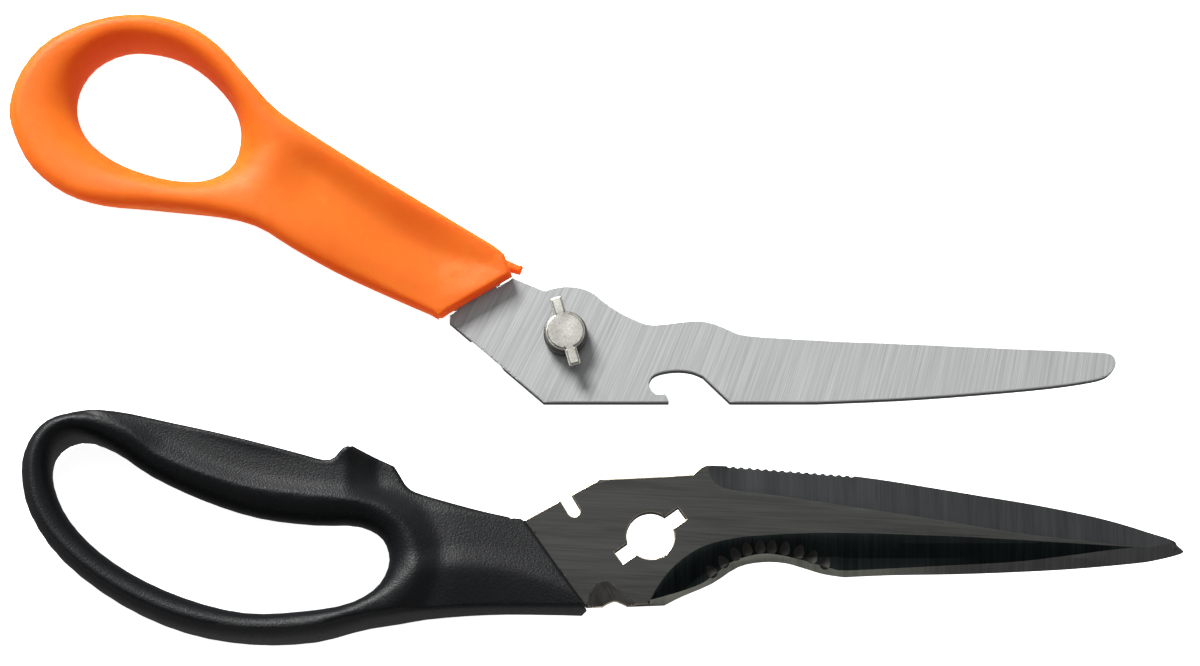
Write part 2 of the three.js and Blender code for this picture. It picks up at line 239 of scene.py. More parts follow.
def plan(loops, rings, spacing, creases=(), dense=()):
    """Points and triangles that fill the outlines, fine near them and along the creases.

    rings are the offsets from the outlines at which rows of points follow them, and dense
    lists (x low, x high, y low, y high, spacing) boxes that get extra points. The outlines
    come back too, turned so that the material is always on their left.
    """
    turned = []
    for index, loop in enumerate(loops):
        right_way = (signed_area(loop) > 0) == (index == 0)
        turned.append(loop if right_way else loop[::-1])
    loops = turned
    points = []
    edges = []
    for loop in loops:
        first = len(points)
        points += list(loop)
        edges += [(first + i, first + (i + 1) % len(loop)) for i in range(len(loop))]
    for crease in creases:
        first = len(points)
        points += list(crease)
        edges += [(first + i, first + i + 1) for i in range(len(crease) - 1)]
    extra = []
    for offset in rings:
        for loop in loops:
            tangent = np.roll(loop, -1, 0) - np.roll(loop, 1, 0)
            tangent /= np.linalg.norm(tangent, axis=1)[:, None] + 1e-9
            moved = loop + offset * np.stack([-tangent[:, 1], tangent[:, 0]], 1)
            extra.append(moved[rim_distance(moved, loops) > RING_KEEPS * offset])
    low = loops[0].min(0)
    high = loops[0].max(0)
    areas = [(low[0], high[0], low[1], high[1], spacing, rings[-1] + 0.6 * spacing)]
    areas += [(*box, 0.5 * box[4]) for box in dense]
    for x0, x1, y0, y1, gap, keep in areas:
        rows = np.arange(y0, y1, gap * ROW_HEIGHT)
        columns = np.arange(x0, x1, gap)
        grid_x, grid_y = np.meshgrid(columns, rows)
        grid_x[1::2] += gap / 2
        grid = np.stack([grid_x.ravel(), grid_y.ravel()], 1)
        grid = grid[inside(grid, loops)]
        extra.append(grid[rim_distance(grid, loops) > keep])
    extra = np.vstack(extra)
    extra = extra[inside(extra, loops)]
    for crease in creases:
        extra = extra[distance(extra, crease, closed=False) > CREASE_CLEAR]
    points = np.vstack([np.array(points), extra])
    found = delaunay_2d_cdt([Vector(p) for p in points], edges, [], 0, 1e-5, False)
    points = np.array([tuple(v) for v in found[0]])
    triangles = np.array(found[2])
    middle = points[triangles].mean(1)
    triangles = triangles[inside(middle, loops)]
    used = np.unique(triangles)
    renumber = np.full(len(points), -1)
    renumber[used] = np.arange(len(used))
    return points[used], renumber[triangles], loops


def border_edges(triangles):
    """The directed edges that only one triangle has."""
    edges = {}
    for a, b, c in triangles.tolist():
        for edge in ((a, b), (b, c), (c, a)):
            edges[edge] = True
    return [edge for edge in edges if (edge[1], edge[0]) not in edges]


def placed(name, data):
    """A new object in the scene."""
    thing = bpy.data.objects.new(name, data)
    bpy.context.scene.collection.objects.link(thing)
    return thing


def smooth_piece(name, places, faces, sharp):
    """A smooth-shaded mesh object from places in millimetres, sharp from that angle on."""
    mesh = bpy.data.meshes.new(name)
    mesh.from_pydata((places * MM).tolist(), [], faces)
    mesh.polygons.foreach_set("use_smooth", [True] * len(mesh.polygons))
    if sharp:
        mesh.set_sharp_from_angle(angle=math.radians(sharp))
    mesh.update()
    return placed(name, mesh)


def solid_from(name, pivot, points, triangles, top, bottom, slots=None, edge_slot=0, sharp=None):
    """A closed mesh between two height fields over one plan.

    Where top and bottom meet at the outline they share their points. Elsewhere along the
    outline a wall joins them. slots holds the material index of each triangle, above and
    below, and edge_slot that of the walls.
    """
    count = len(points)
    border = border_edges(triangles)
    on_border = np.zeros(count, bool)
    on_border[[a for a, _ in border]] = True
    shared = on_border & (np.abs(top - bottom) < 1e-4)
    lower = np.where(shared, np.arange(count), count + np.cumsum(~shared) - 1)
    low_index = np.flatnonzero(~shared)
    above = np.column_stack([points, top])
    below = np.column_stack([points[low_index], bottom[low_index]])
    places = np.vstack([above, below]) + pivot
    faces = triangles.tolist() + lower[triangles[:, ::-1]].tolist()
    walls = []
    for a, b in border:
        low_a, low_b = int(lower[a]), int(lower[b])
        wall = [b, a] + ([low_a] if low_a != a else []) + ([low_b] if low_b != b else [])
        if len(wall) > 2:
            walls.append(wall)
    piece = smooth_piece(name, places, faces + walls, sharp)
    if slots is not None:
        index = [*slots[0], *slots[1], *([edge_slot] * len(walls))]
        piece.data.polygons.foreach_set("material_index", np.array(index, np.int32))
    return piece


# ---- materials


class Tree:
    """A short way to write a node tree."""

    def __init__(self, tree):
        self.tree = tree

    def add(self, kind, **values):
        node = self.tree.nodes.new(kind)
        for key, value in values.items():
            setattr(node, key, value)
        return node

    def link(self, source, target):
        self.tree.links.new(source, target)


class Nodes(Tree):
    """The tree of a new material: a Principled shader and what sets its sockets."""

    def __init__(self, name):
        self.material = bpy.data.materials.new(name)
        self.material.use_nodes = True
        super().__init__(self.material.node_tree)
        self.tree.nodes.clear()
        self.shader = self.add("ShaderNodeBsdfPrincipled")
        output = self.add("ShaderNodeOutputMaterial")
        self.link(self.shader.outputs[0], output.inputs[0])
        self.place = self.add("ShaderNodeTexCoord").outputs["Object"]

    def turned(self, scale, angle=0.0):
        """Object coordinates in the plane, turned by an angle and then scaled, per metre."""
        turn = self.add("ShaderNodeVectorRotate", rotation_type="Z_AXIS")
        self.link(self.place, turn.inputs["Vector"])
        turn.inputs["Angle"].default_value = -math.radians(angle)
        stretch = self.add("ShaderNodeVectorMath", operation="MULTIPLY")
        self.link(turn.outputs[0], stretch.inputs[0])
        stretch.inputs[1].default_value = scale
        return stretch.outputs[0]

    def noise(self, vector, scale=1.0, detail=3.0, roughness=0.55):
        node = self.add("ShaderNodeTexNoise")
        self.link(vector, node.inputs["Vector"])
        node.inputs["Scale"].default_value = scale
        node.inputs["Detail"].default_value = detail
        node.inputs["Roughness"].default_value = roughness
        return node.outputs["Fac"]

    def ramp(self, value, stops):
        node = self.add("ShaderNodeValToRGB")
        self.link(value, node.inputs[0])
        elements = node.color_ramp.elements
        while len(elements) < len(stops):
            elements.new(0.5)
        for element, (position, colour) in zip(elements, stops):
            element.position = position
            element.color = (*colour, 1)
        return node.outputs[0]

    def scaled(self, value, low, high, start=0.0, end=1.0):
        node = self.add("ShaderNodeMapRange")
        self.link(value, node.inputs[0])
        node.inputs[1].default_value = start
        node.inputs[2].default_value = end
        node.inputs[3].default_value = low
        node.inputs[4].default_value = high
        return node.outputs[0]

    def blend(self, factor, a, b):
        node = self.add("ShaderNodeMix", data_type="RGBA")
        if isinstance(factor, float):
            node.inputs[0].default_value = factor
        else:
            self.link(factor, node.inputs[0])
        self.link(a, node.inputs[6])
        self.link(b, node.inputs[7])
        return node.outputs[2]

    def bump(self, height, strength, depth):
        node = self.add("ShaderNodeBump")
        node.inputs["Strength"].default_value = strength
        node.inputs["Distance"].default_value = depth
        self.link(height, node.inputs["Height"])
        return node.outputs[0]

    def set(self, **sockets):
        for key, value in sockets.items():
            socket = self.shader.inputs[key.replace("_", " ")]
            if hasattr(value, "node"):
                self.link(value, socket)
            elif isinstance(value, tuple):
                socket.default_value = (*value, 1) if len(value) == 3 else value
            else:
                socket.default_value = value
        return self.material


# how many grains and patches of colour there are per metre
GRAINS = 2600
PATCHES = 60
# how deep light scatters in coloured plastic, in metres, and the share of red, green and blue
SCATTER_DEPTH = 0.006
SCATTER_SHARES = (1, 0.12, 0.05)


def moulded_plastic(
    name, dark, light, roughness, bump_depth, gloss, inner=(0, 0, 0), painted_glow=0.0, scatter=0.0
):
    """Fine spark-eroded grain: tiny pits in the surface and a little colour variation.

    inner and painted_glow set a red emission of the plastic's own, painted light that lifts and
    reddens its shaded parts in place of the light scattered inside a coloured plastic that
    scatter, the weight of the shader's own scattering, leaves out.
    """
    n = Nodes(name)
    grain = n.noise(n.place, GRAINS, 2, 0.6)
    patches = n.noise(n.place, PATCHES, 3, 0.5)
    colour = n.ramp(patches, [(0.3, dark), (0.7, light)])
    colour = n.blend(0.12, colour, n.ramp(grain, [(0.3, dark), (0.75, light)]))
    rough = n.scaled(grain, roughness - 0.06, roughness + 0.06, 0.3, 0.7)
    normal = n.bump(grain, 0.55, bump_depth)
    # a painted red emission: light that the plastic gives off though it is no lamp
    n.set(Emission_Color=inner, Emission_Strength=painted_glow)
    n.set(Subsurface_Weight=scatter, Subsurface_Scale=SCATTER_DEPTH)
    n.shader.inputs["Subsurface Radius"].default_value = SCATTER_SHARES
    return n.set(Base_Color=colour, Roughness=rough, Normal=normal, Specular_IOR_Level=gloss)


# grinding lines per metre across them and along them, and the same for the broad bands
LINES = (90, 3600, 90)
BANDS = (90 * 0.35, 3600 * 0.12, 90 * 0.35)
LINE_DEPTH = 0.00001


def ground_steel(name, tones, angle, roughness, onward=None):
    """Metal with fine grinding lines at an angle from +X.

    onward is another pair of tones, and the x where it begins and where it has taken over.
    """
    n = Nodes(name)
    lines = n.noise(n.turned(LINES, angle), 1, 3, 0.6)
    broad = n.noise(n.turned(BANDS, angle), 1, 2, 0.5)
    dark, light = tones
    colour = n.ramp(lines, [(0.28, dark), (0.72, light)])
    colour = n.blend(0.4, colour, n.ramp(broad, [(0.3, dark), (0.7, light)]))
    if onward is not None:
        (dark, light), start, end = onward
        split = n.add("ShaderNodeSeparateXYZ")
        n.link(n.place, split.inputs[0])
        share = n.scaled(split.outputs[0], 0, 1, start * MM, end * MM)
        colour = n.blend(share, colour, n.ramp(lines, [(0.28, dark), (0.72, light)]))
    rough = n.scaled(lines, roughness - 0.07, roughness + 0.07, 0.3, 0.7)
    normal = n.bump(lines, 0.4, LINE_DEPTH)
    return n.set(Base_Color=colour, Roughness=rough, Normal=normal, Metallic=1.0)


# the point that the fan of lines comes from, from the thumb half's pivot, then the noise's
# scale across and along the lines, for fine ones and broad ones
FAN_CENTRE = (158, 335)
FAN_SCALES = ((3800, 45), (1700, 20))
FAN_METALLIC = 0.35


def fan_ground_steel(name, dark, light, roughness):
    """Sheet steel from a wide belt: faint lines that fan out from a point beyond the part."""
    n = Nodes(name)
    centre = (thumb_pivot[:2] + np.array(FAN_CENTRE)) * MM
    shifted = n.add("ShaderNodeVectorMath", operation="SUBTRACT")
    n.link(n.place, shifted.inputs[0])
    shifted.inputs[1].default_value = (*centre, 0)
    split = n.add("ShaderNodeSeparateXYZ")
    n.link(shifted.outputs[0], split.inputs[0])
    turn = n.add("ShaderNodeMath", operation="ARCTAN2")
    n.link(split.outputs[0], turn.inputs[0])
    n.link(split.outputs[1], turn.inputs[1])
    far = n.add("ShaderNodeVectorMath", operation="LENGTH")
    n.link(shifted.outputs[0], far.inputs[0])
    reach = math.hypot(*FAN_CENTRE) * MM
    vectors = []
    for across, along in FAN_SCALES:
        pair = n.add("ShaderNodeCombineXYZ")
        for source, socket, scale in ((turn, 0, across * reach), (far, 1, along)):
            times = n.add("ShaderNodeMath", operation="MULTIPLY")
            n.link(source.outputs["Value"], times.inputs[0])
            times.inputs[1].default_value = scale
            n.link(times.outputs[0], pair.inputs[socket])
        vectors.append(pair.outputs[0])
    fine = n.noise(vectors[0], 1, 3, 0.65)
    broad = n.noise(vectors[1], 1, 3, 0.6)
    fine_tone = n.ramp(fine, [(0.3, dark), (0.7, light)])
    broad_tone = n.ramp(broad, [(0.32, dark), (0.68, light)])
    colour = n.blend(0.35, fine_tone, broad_tone)
    rough = n.scaled(fine, roughness - 0.06, roughness + 0.08, 0.3, 0.7)
    normal = n.bump(fine, 0.35, LINE_DEPTH)
    return n.set(Base_Color=colour, Roughness=rough, Normal=normal, Metallic=FAN_METALLIC)


# pits and clouds per metre, and the depth of the pits in metres
PITS = 1800
CLOUDS = 350
PIT_DEPTH = 0.00006


def tumbled_nickel(name, dark, light, roughness):
    """Satin nickel with small pits."""
    n = Nodes(name)
    pits = n.noise(n.place, PITS, 4, 0.65)
    cloud = n.noise(n.place, CLOUDS, 2, 0.5)
    pit_tone = n.ramp(pits, [(0.3, dark), (0.6, light)])
    cloud_tone = n.ramp(cloud, [(0.3, dark), (0.7, light)])
    colour = n.blend(0.5, pit_tone, cloud_tone)
    rough = n.scaled(cloud, roughness - 0.06, roughness + 0.08, 0.3, 0.7)
    normal = n.bump(pits, 0.7, PIT_DEPTH)
    return n.set(Base_Color=colour, Roughness=rough, Normal=normal, Metallic=1.0)


orange = moulded_plastic(
    "orange plastic", (0.37, 0.095, 0.004), (0.42, 0.122, 0.007),
    roughness=0.5, bump_depth=0.00008, gloss=0.15,
    # a faint red emission of the orange's own: painted light that lifts and reddens its shade
    inner=(1, 0.004, 0.006), painted_glow=0.28, scatter=0.6,
)
black = moulded_plastic(
    "black plastic", (0.0018, 0.0021, 0.0026), (0.0036, 0.004, 0.0048),
    roughness=0.45, bump_depth=0.00018, gloss=0.18,
)
GREY = (0.19, 0.194, 0.194), (0.38, 0.385, 0.385)
bare_steel = fan_ground_steel("brushed steel", *GREY, roughness=0.75)
# the blade's broken edge: the same steel painted far brighter, a painted highlight along its rim
steel_edge_painted_highlight = ground_steel(
    "steel edge with painted highlight", ((0.8, 0.81, 0.81), (0.93, 0.93, 0.93)), angle=0, roughness=0.45
)
# the blade's side walls: the same steel painted far darker, painted shade for sides that face away
# from the light
steel_side_painted_shade = ground_steel(
    "steel side with painted shade", ((0.06, 0.065, 0.06), (0.13, 0.135, 0.13)), angle=0, roughness=0.4
)
bare_grind = ground_steel("ground steel", GREY, angle=88, roughness=0.5)
coated = ground_steel(
    "coated steel", ((0.027, 0.0275, 0.027), (0.063, 0.0635, 0.061)), angle=-3, roughness=0.58
)
coated_back = ground_steel(
    "coated back bevel", ((0.0195, 0.0205, 0.021), (0.043, 0.0445, 0.0455)),
    angle=90, roughness=0.58,
)
# coated steel painted near black: painted shade for the hollow grind, which faces away from the
# light
coated_hollow_painted_shade = ground_steel(
    "coated hollow grind with painted shade", ((0.004, 0.006, 0.006), (0.014, 0.018, 0.0175)),
    angle=90, roughness=0.5,
)
# the edge bevel is worn bright along the power notch, and darkens between these two x
MICRO_DARKENS = finger_pivot[0] + 44, finger_pivot[0] + 62
MICRO_AT_TIP = (0.085, 0.086, 0.085), (0.13, 0.131, 0.13)
coated_micro = ground_steel(
    "coated edge bevel", ((0.2, 0.2, 0.173), (0.31, 0.31, 0.272)),
    angle=90, roughness=0.5, onward=(MICRO_AT_TIP, *MICRO_DARKENS),
)
coated_recess = ground_steel(
    "coated arch relief", ((0.06, 0.056, 0.052), (0.15, 0.142, 0.134)), angle=118, roughness=0.5
)
coated_scallop = ground_steel(
    "coated scallops", ((0.022, 0.0215, 0.02), (0.038, 0.037, 0.034)), angle=80, roughness=0.6
)
# the blade's side walls: the coated steel painted darker, painted shade for sides that face away
# from the light
coated_side_painted_shade = ground_steel(
    "coated side with painted shade", ((0.015, 0.015, 0.015), (0.035, 0.035, 0.033)), angle=0, roughness=0.45
)
pale_gold = ground_steel(
    "worn edge", ((0.36, 0.3, 0.22), (0.62, 0.55, 0.42)), angle=10, roughness=0.4
)
nickel = tumbled_nickel("nickel", (0.3, 0.293, 0.263), (0.48, 0.472, 0.435), roughness=0.36)
# the collar under the stud's head: the same nickel painted darker, painted shade where the head
# overhangs it
shaded_nickel = tumbled_nickel(
    "nickel collar with painted shade", (0.08, 0.078, 0.072), (0.15, 0.147, 0.138), roughness=0.42
)

# ---- handles

# how far inside a handle's outlines rows of points follow them
HANDLE_RINGS = (0.05, 0.16, 0.34, 0.6, 0.95, 1.4, 1.95, 2.6)
HANDLE_STEP = 0.8
# the turn in degrees from which a point of an outline is a corner, and the same for a hole
CORNER = 24
HOLE_CORNER = 60
# how far a handle's front edge moves, to close the gap the CAD leaves at the blade
FRONT_REACH = 0.5
HANDLE_SHARP = 40


def slimmed(loop, sides, outer, from_x, to_x):
    """The loop pulled into the material on its sides, more so away from the blade.

    sides is how far on the sides that face +Y and -Y.
    """
    tangent = np.roll(loop, -1, 0) - np.roll(loop, 1, 0)
    tangent /= np.linalg.norm(tangent, axis=1)[:, None] + 1e-9
    inward = np.stack([-tangent[:, 1], tangent[:, 0]], 1)
    if (signed_area(loop) > 0) != outer:
        inward = -inward
    amount = np.where(inward[:, 1] < 0, sides[0], sides[1])
    share = amount * inward[:, 1] ** 2 * ease(-loop[:, 0], -from_x, -to_x)
    return loop + inward * share[:, None]


def handle_loops(node, pivot, z, front, slim, slim_from, slim_to):
    """The handle's outlines at height z, with its front edge moved out to touch the blade."""
    outer, hole = section(node, pivot, z)[:2]
    start, end = np.array(front)
    along = (end - start) / np.linalg.norm(end - start)
    normal = np.array([along[1], -along[0]])
    normal *= np.sign(normal[0])
    on_front = np.abs((outer - start) @ normal) < 0.2
    outer = outer + on_front[:, None] * normal * FRONT_REACH
    outer = refined(outer, HANDLE_STEP, CORNER)
    hole = refined(hole, HANDLE_STEP, HOLE_CORNER)
    return [
        slimmed(outer, slim, True, slim_from, slim_to),
        slimmed(hole, slim, False, slim_from, slim_to),
    ]


# the ridge between the finger loop's tube and the palm panel, on toward the blade
CREASE = [
    (-119.5, 24.2), (-112.9, 23.1), (-108.2, 22.5), (-102.2, 19.7), (-97.6, 15.4), (-93.8, 13.5),
    (-86.3, 10.7), (-78.6, 8.5), (-68.6, 7.1), (-56.4, 5.7), (-43.3, 4.5), (-30.4, 3.3),
    (-24.5, 2.6),
]
CREASE_STEP = 0.8
# two points that close the palm panel's area above the crease
PALM_CORNERS = [(-20, 40), (-125, 40)]
FINGER_CUT = -1.5
FINGER_FRONT = ((-25.2, 3.0), (-12.9, -14.9))
FINGER_SLIM = (0.5, 1.1)
FINGER_NECK = (-6.0, 6.8)
TUBE_HALF = 5
# how far the widest line lies below the loop's top, and how far the tube's crown leans outward
UPPER_HALF = 6.0
CROWN_LEAN = 0.17
NECK_LEVEL = 0.84
PAD_RISE = 0.13
ROOF_SLOPE = 0.03
CREASE_SINK = 0.13
PALM_FALL = 0.3


def pad_arc(x):
    """The y of the soft arc that bounds the raised pad on the finger handle's neck."""
    return -3.4 - 0.011 * (x + 36) ** 2


def finger_level(points, hole_gap, past, palm, neck):
    """The share of its full height that the finger handle's upper side reaches."""
    x, y = points.T
    # beside the hole's front end the tube sinks into a soft valley and then the neck's flat
    beside = ease(x, -60, -53)
    valley = 0.03 * np.exp(-(((hole_gap - 10.5) / 2.6) ** 2))
    level = mix(1, mix(1, NECK_LEVEL - valley, ease(hole_gap, 5, 10.5)), beside)
    arc = pad_arc(x)
    pad = ease(arc - y, -1.2, 4.4) * ease(x, -53, -45)
    level = level + PAD_RISE * pad * beside
    # the neck has a low roof shape: it slopes away on both sides of the pad's upper edge
    roof = (np.hypot(y - arc + 3, 2) - 2) * beside * ease(hole_gap, 3, 9)
    level = level - ROOF_SLOPE * roof
    # the ridge sinks a little toward the crease, and the panel falls away beyond it
    toward = ease(hole_gap, 3.2, 8) * (1 - neck) * ease(-past, -11, -7)
    level = level - CREASE_SINK * toward
    fall = PALM_FALL * (1 - np.exp(-past / 3.6)) * mix(1, 0.35, ease(x, -50, -24))
    return np.where(palm, level * (1 - fall), level)


def finger_handle():
    low, high = span("finger_handle", finger_pivot)
    neck_low, neck_high = FINGER_NECK
    loops = handle_loops(
        "finger_handle", finger_pivot, FINGER_CUT, FINGER_FRONT, FINGER_SLIM, -40, -70
    )
    crease = curve_through(CREASE, CREASE_STEP)
    within = crease[inside(crease, loops)]
    within = within[rim_distance(within, loops) > 0.3]
    points, triangles, loops = plan(loops, HANDLE_RINGS, HANDLE_STEP, creases=[within])
    x, y = points.T
    outer_gap = distance(points, loops[0])
    hole_gap = distance(points, loops[1])
    width = outer_gap + hole_gap
    lean = CROWN_LEAN * ease(-y, -20, -2) * (1 - ease(x, -68, -50))
    half = np.minimum(width / 2, TUBE_HALF)
    past = distance(points, crease, closed=False)
    palm = inside(points, [np.vstack([crease, PALM_CORNERS])])
    # the palm side and the neck have tighter edges than the tube
    neck = ease(x, -62, -44)
    on_palm = palm * ease(past, 0, 1.2) * ease(x, -118, -108)
    edge_radius = mix(mix(half * (1 - 2 * lean), 0.9, neck), 1.0, on_palm)
    edge_power = mix(mix(2, 4.5, neck), 2.5, on_palm)
    hole_radius = mix(half * (1 + 2 * lean), np.minimum(width / 2, 6), ease(x, -60, -53))
    level = finger_level(points, hole_gap, past, palm, neck)
    height = level * rim(hole_gap, hole_radius, 2) * rim(outer_gap, edge_radius, edge_power)
    under_power = mix(edge_power, 1.6, 1 - neck)
    depth = level * rim(hole_gap, hole_radius, 1.6) * rim(outer_gap, edge_radius, under_power)
    to_neck = 1 - ease(-x, 22, 66)
    top_z = mix(high, neck_high, to_neck)
    low_z = mix(low, neck_low, to_neck)
    middle = mix(high - UPPER_HALF, (neck_high + neck_low) / 2, to_neck)
    top = middle + (top_z - middle) * height
    bottom = middle - (middle - low_z) * depth
    piece = solid_from(
        "finger_grip", finger_pivot, points, triangles, top, bottom, sharp=HANDLE_SHARP
    )
    piece.data.materials.append(black)
    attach(piece, "finger_half")
    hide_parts("finger_handle")


THUMB_CUT = 1.0
THUMB_FRONT = ((-23.5, 4.6), (-10.9, 12.2))
THUMB_SLIM = (0.9, 0.8)
THUMB_NECK = (-5.2, 3.6)
THUMB_NECK_TURN = 152
# how far below the upper surface the widest line lies: at the loop's outline, at the hole's
# rim, which is deep in the funnel, and along the neck
OUTER_CROWN = 2.2
HOLE_DEPTH = 7.5
NECK_CROWN = 2.4
LOOP_WIDTH = 13
SCOOP_DEPTHS = (1.3, 1.7, 2.0)


def along_side(loop, keep):
    """The stretch of a closed line whose points are kept, in order."""
    start = np.flatnonzero(keep & ~np.roll(keep, 1))[0]
    rolled = np.roll(loop, -start, 0)
    kept = np.roll(keep, -start)
    return rolled[: np.argmin(kept)] if not kept.all() else rolled


def neck_scoop(points, outline, turn, back):
    """The depth of the channel along the neck's upper side, deepest beside the loop."""
    far = outline @ np.array([math.cos(turn), math.sin(turn)])
    side = outline @ np.array([math.sin(turn), -math.cos(turn)])
    upper_side = along_side(outline, (far < 84) & (side > 2))
    lower_side = along_side(outline, (far < 84) & (side < 2))
    upper_gap = distance(points, upper_side, closed=False)
    lower_gap = distance(points, lower_side, closed=False)
    across = upper_gap / (upper_gap + lower_gap)
    near_loop = ease(back, 38, 65)
    front, middle, rear = SCOOP_DEPTHS
    depth = mix(mix(front, middle, ease(back, 18, 40)), rear, near_loop)
    depth = depth * (1 - ease(back, 58, 70))
    beyond = ease(across, mix(0.36, 0.26, near_loop), mix(0.8, 0.9, near_loop))
    return depth * ease(upper_gap, 0.4, mix(8, 7, near_loop)) * (1 - beyond)


def thumb_handle():
    low, high = span("thumb_handle", thumb_pivot)
    neck_low, neck_high = THUMB_NECK
    loops = handle_loops(
        "thumb_handle", thumb_pivot, THUMB_CUT, THUMB_FRONT, THUMB_SLIM, -40, -75
    )
    points, triangles, loops = plan(loops, HANDLE_RINGS, HANDLE_STEP)
    x, y = points.T
    outer_gap = distance(points, loops[0])
    hole_gap = distance(points, loops[1])
    # the neck runs up and back at an angle: how far back a point is
    turn = math.radians(THUMB_NECK_TURN)
    back = x * math.cos(turn) + y * math.sin(turn)
    # the loop flares like a funnel: its crest is close to the outer edge
    width = np.minimum(outer_gap + hole_gap, LOOP_WIDTH)
    crest = np.minimum(2.6, 0.32 * width)
    fall = np.clip(hole_gap / (width - crest), 0, 1)
    funnel = np.sqrt(1 - (1 - fall) ** 2)
    front = 1 - ease(back, 20, 46)
    height = rim(outer_gap, mix(crest, 0.9, front), 2.2) * funnel
    # the underside slopes inward from the outline
    slope = mix(np.minimum(0.5 * width, 6), 3, front)
    under = rim(outer_gap, slope, 1.25) * rim(hole_gap, 3, 1.6)
    to_neck = 1 - ease(back, 24, 68)
    top_z = mix(high, neck_high, to_neck)
    low_z = mix(low, neck_low, to_neck)
    across = outer_gap / np.maximum(outer_gap + hole_gap, 1e-6)
    middle = mix(high - mix(OUTER_CROWN, HOLE_DEPTH, across), neck_high - NECK_CROWN, to_neck)
    scoop = neck_scoop(points, loops[0], turn, back)
    top = middle + (top_z - middle) * height - scoop
    bottom = middle - (middle - low_z) * under + 0.5 * scoop
    meets = (outer_gap < 1e-3) | (hole_gap < 1e-3)
    top = np.where(meets, middle, top)
    bottom = np.where(meets, middle, bottom)
    piece = solid_from(
        "thumb_grip", thumb_pivot, points, triangles, top, bottom, sharp=HANDLE_SHARP
    )
    piece.data.materials.append(orange)
    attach(piece, "thumb_half")
    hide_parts("thumb_handle")
    # the black handle and the blades don't mirror its orange
    piece.visible_glossy = False


# a moulded stop that pokes out behind the blade
TAB = [
    (-15.5, 15.4), (-14.2, 17.6), (-9.4, 15.3), (-8.8, 15.4), (-8.6, 14.9), (-9.2, 13.5),
    (-12.4, 14.4),
]
TAB_STEP = 0.3
TAB_MIDDLE = -4.0
TAB_HALF = 1.2


def thumb_tab():
    points, triangles, loops = plan([refined(TAB, TAB_STEP, 30)], (0.08, 0.25), 0.5)
    swell = TAB_HALF * rim(distance(points, loops[0]), 0.5, 2.5)
    piece = solid_from(
        "grip_stop", thumb_pivot, points, triangles, TAB_MIDDLE + swell, TAB_MIDDLE - swell
    )
    piece.data.materials.append(orange)
    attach(piece, "thumb_half")


finger_handle()
thumb_handle()
thumb_tab()

# ---- finger blade

# where the ground faces begin, and the arc of the power notch's scallops
BACK_BEVEL = [
    (11.2, 14.6), (11.3, 13.4), (12, 11.5), (13.5, 9.9), (17.2, 8.9), (24.8, 8), (39.8, 5.7),
    (54.8, 3.4), (71.4, 0.6), (82.6, -0.8), (95.7, -2.3), (99, -2.15), (102.6, -1.5), (104, -1.2),
]
HOLLOW = [
    (-0.1, -12.8), (1.6, -9.8), (4.2, -6.5), (7.9, -3.5), (11.6, -1.7), (17.3, -0.4), (23, 0.1),
    (32.2, 0.5), (43.4, 0.4), (54.8, 0), (63.9, -0.4), (78.8, -1.3), (95.2, -2.35),
]
EDGE_BEVEL = [
    (-0.1, -12.8), (3.4, -11.7), (9.5, -9.5), (12.4, -7.6), (15.6, -5.2), (18.8, -4), (22.4, -3.4),
    (26.2, -3.8), (30, -4.7), (33, -5.6), (35.5, -6.3), (38, -6.7), (47, -6.3), (58.4, -5.7),
    (71.3, -5), (80.7, -4), (88, -3.1), (95.2, -2.35),
]
ARCH_RECESS = [
    (-12.4, -14.6), (-12.2, -12.4), (-11.1, -9.8), (-9.5, -8.9), (-7.9, -9), (-6.6, -10.4),
    (-5, -11.6), (-2.8, -13.5), (-2.3, -14.6),
]
SCALLOPS = [
    (11.9, -6.9), (14.2, -5), (16.6, -3.5), (18.9, -2.6), (21.5, -2.1), (23.8, -2.1),
    (26.4, -2.4), (29.2, -3), (31.8, -4), (34.3, -5.2),
]
# half a scallop's size along and across the edge, and how much it narrows away from it
SCALLOP_HALF = (0.98, 1.32)
SCALLOP_NARROWS = 0.36
SCALLOP_DEPTH = 0.26
# a short line from the edge bevel's start to the outline, and points beyond the outline that
# close the areas of the back bevel and the edge bevel
BEVEL_START = [(-0.3, -14.2), (-0.1, -12.8)]
BEYOND_BACK = [(112, 4), (60, 30), (11, 30)]
BEYOND_EDGE = [(112, -1), (112, -20), (-0.4, -20), (-0.4, -14.2)]
# boxes with finer points: the power notch, the edge bevel's start and the twine notch
FINE_BOXES = [(9, 37, -9, 0.6, 0.3), (0, 10, -13, -2, 0.5), (-12.5, -2.2, -14, -8.5, 0.35)]
GRIND_STEP = 0.6
# the thickness at the cutting edge, at its unsharpened start, at the tip and in the notch
SHARP_EDGE = 0.12
START_EDGE = 1.7
TIP_EDGE = 0.9
NOTCH_EDGE = 0.35
HOLLOW_DEPTH = 1.5
HOLLOW_STEEPNESS = 0.33
BACK_SLOPE = 0.1
TIP_LIFT = 0.5
# the small broken edge: how far it reaches into the face, and its slope
BROKEN_EDGE = 0.14
BROKEN_SLOPE = 0.8
# where the coating is worn off the broken edge, in x
WORN = (-25.5, 11.6)
# the finger blade's material slots, in order
FACE, BACK, HOLLOW_GRIND, EDGE, NOTCH, SCALLOP, WORN_RIM, SIDE = range(8)


def scallop_frames():
    """Each scallop's centre, and its axes along and across the edge."""
    frames = []
    for index, (x, y) in enumerate(SCALLOPS):
        before = SCALLOPS[max(index - 1, 0)]
        after = SCALLOPS[min(index + 1, len(SCALLOPS) - 1)]
        along = np.array([after[0] - before[0], after[1] - before[1]])
        along /= np.linalg.norm(along)
        frames.append((np.array([x, y]), along, np.array([-along[1], along[0]])))
    return frames


